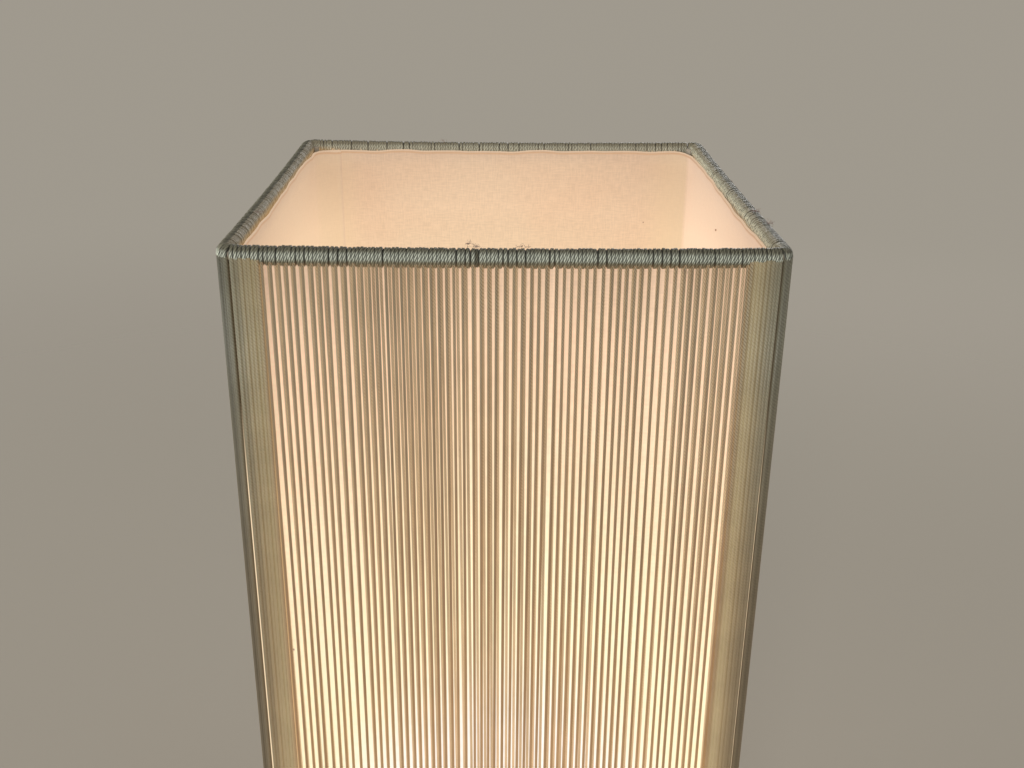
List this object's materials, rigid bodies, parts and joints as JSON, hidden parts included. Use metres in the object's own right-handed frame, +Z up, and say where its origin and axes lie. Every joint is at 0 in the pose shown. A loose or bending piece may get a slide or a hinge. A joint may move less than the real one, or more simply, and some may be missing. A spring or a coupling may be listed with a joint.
{
  "type": "column table lamp",
  "caption": "Square column table lamp: tall shade wound with twisted cord over a cloth liner, on a low wooden plinth with an upright lampholder and screw-in bulb.",
  "frame": {"origin": "centre of the lamp's footprint, on the surface it stands on", "axes": "+Z up, +X to the right seen from the front, front towards -Y, the cable inlet at the rear towards +Y"},
  "size_m": [0.2, 0.2, 0.5],
  "materials": {
    "plinth_wood": "oiled",
    "felt": "napped",
    "dark_plastic": "moulded, matt",
    "steel": "zinc plated",
    "sleeve_metal": "satin, lacquered",
    "holder_plastic": "moulded, satin",
    "porcelain": "glazed",
    "contact_brass": "plain",
    "cap_metal": "plain",
    "cap_glass": "fused black glass",
    "bulb_glass": "frosted inside",
    "stem_glass": "clear",
    "filament": "coated rods",
    "frame_wire": "powder coated",
    "cord": "twisted paper and linen cord",
    "liner_cloth": "laminated cream linen"
  },
  "bodies": {
    "base": {"base_block": "plinth_wood", "base_felt_pad": "felt", "cable_gland": "dark_plastic", "threaded_tube": "steel", "lower_washer": "steel", "lower_nut": "steel", "tube_sleeve": "sleeve_metal", "lampholder_dome": "holder_plastic", "lampholder_body": "holder_plastic", "lampholder_insert": "porcelain", "terminal_screws": "contact_brass", "grub_screw": "steel", "screw_shell": "contact_brass", "centre_contact": "contact_brass"},
    "shade": {"bottom_ring": "frame_wire", "top_ring": "frame_wire", "corner_post_front_left": "frame_wire", "corner_post_front_right": "frame_wire", "corner_post_back_left": "frame_wire", "corner_post_back_right": "frame_wire", "winding_front": "cord", "winding_right": "cord", "winding_back": "cord", "winding_left": "cord", "liner": "liner_cloth"},
    "bulb_end": {"bulb_contact_tip": "contact_brass", "bulb_insulator": "cap_glass"},
    "bulb": {"bulb_cap": "cap_metal", "bulb_glass": "bulb_glass", "bulb_stem": "stem_glass", "bulb_filaments": "filament"}
  },
  "joints": [
    {"name": "shade_lift", "type": "slide", "parent": "base", "child": "shade", "axis": [0, 0, 1], "range_m": [0, 0.2]},
    {"name": "bulb_rise", "type": "slide", "parent": "base", "child": "bulb_end", "axis": [0, 0, 1], "range_m": [0, 0.01634]},
    {"name": "bulb_turn", "type": "hinge", "parent": "bulb_end", "child": "bulb", "pos_m": [0, 0, 0.077], "axis": [0, 0, 1], "range_deg": [0, 1620]}
  ],
  "couplings": [
    {"joint": "bulb_rise", "follows": "bulb_turn", "m_per_rad": 0.00057757}
  ]
}
